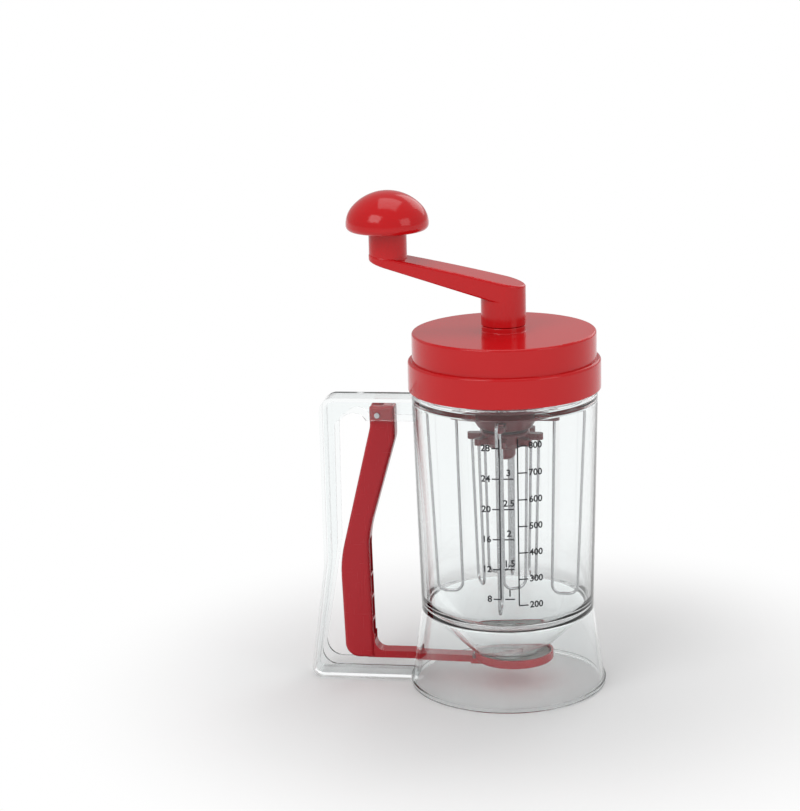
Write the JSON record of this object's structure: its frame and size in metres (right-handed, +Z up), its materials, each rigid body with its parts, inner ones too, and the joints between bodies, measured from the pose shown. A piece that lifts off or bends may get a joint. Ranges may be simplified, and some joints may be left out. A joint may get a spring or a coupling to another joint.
{
  "type": "pancake batter dispenser",
  "caption": "Clear jug with a hand-cranked geared whisk in its screw-on lid and a lever that opens a valve under its funnel.",
  "frame": {"origin": "the jug's axis on the plane of the base rim, where the dispenser stands", "axes": "+Z up along the jug's axis; the handle points to -X; -Y is the side with the volume scale"},
  "size_m": [0.1644, 0.1086, 0.2749],
  "materials": {
    "clear_plastic": "clear moulded, polished",
    "red_plastic": "glossy moulded",
    "crimson_plastic": "semi-gloss moulded",
    "holder_plastic": "semi-gloss moulded",
    "gear_plastic": "satin moulded",
    "steel": "bright drawn wire",
    "seal_rubber": "matte"
  },
  "bodies": {
    "jug": {"jug_shell": "clear_plastic", "base_skirt": "clear_plastic", "handle_frame": "clear_plastic", "lever_pivot_pin": "steel"},
    "lever": {"dispensing_lever": "crimson_plastic", "lever_spring": "steel", "valve_cup": "crimson_plastic", "valve_seal": "seal_rubber"},
    "lid": {"lid_base": "red_plastic", "lid_gasket": "seal_rubber", "lid_screws": "steel", "gear_cover": "red_plastic", "crank_bush": "gear_plastic"},
    "crank": {"crank_arm": "red_plastic", "drive_shaft": "steel", "sun_gear": "gear_plastic", "knob_pin": "steel", "inner_whisk_hub": "holder_plastic", "inner_whisk_wires": "steel", "whisk_nut": "holder_plastic"},
    "knob": {"crank_knob": "red_plastic"},
    "planet_1": {"planet_gear_1": "gear_plastic"},
    "planet_2": {"planet_gear_2": "gear_plastic"},
    "planet_3": {"planet_gear_3": "gear_plastic"},
    "outer_whisk": {"ring_gear": "gear_plastic", "outer_whisk_hub": "holder_plastic", "outer_whisk_wires": "steel"}
  },
  "joints": [
    {"name": "lid_lift", "type": "slide", "parent": "jug", "child": "lid", "axis": [0, 0, 1], "range_m": [0, 0.16]},
    {"name": "crank_turn", "type": "hinge", "parent": "lid", "child": "crank", "pos_m": [0, 0, 0.2], "axis": [0, 0, 1], "continuous": true},
    {"name": "knob_spin", "type": "hinge", "parent": "crank", "child": "knob", "pos_m": [-0.062, 0, 0.255], "axis": [0, 0, 1], "continuous": true},
    {"name": "outer_whisk_turn", "type": "hinge", "parent": "lid", "child": "outer_whisk", "pos_m": [0, 0, 0.18], "axis": [0, 0, 1], "continuous": true},
    {"name": "lever_squeeze", "type": "hinge", "parent": "jug", "child": "lever", "pos_m": [-0.0694, 0, 0.1524], "axis": [0, 1, 0], "range_deg": [0, 3.4], "stiffness_Nm_per_rad": 0.3, "springref_deg": -20.05},
    {"name": "planet_1_turn", "type": "hinge", "parent": "lid", "child": "planet_1", "pos_m": [0, 0.02475, 0.19], "axis": [0, 0, 1], "continuous": true},
    {"name": "planet_2_turn", "type": "hinge", "parent": "lid", "child": "planet_2", "pos_m": [-0.02143, -0.01238, 0.19], "axis": [0, 0, 1], "continuous": true},
    {"name": "planet_3_turn", "type": "hinge", "parent": "lid", "child": "planet_3", "pos_m": [0.02143, -0.01238, 0.19], "axis": [0, 0, 1], "continuous": true}
  ],
  "couplings": [
    {"joint": "outer_whisk_turn", "follows": "crank_turn", "ratio": -0.29412},
    {"joint": "planet_1_turn", "follows": "crank_turn", "ratio": -0.83333},
    {"joint": "planet_2_turn", "follows": "crank_turn", "ratio": -0.83333},
    {"joint": "planet_3_turn", "follows": "crank_turn", "ratio": -0.83333}
  ]
}
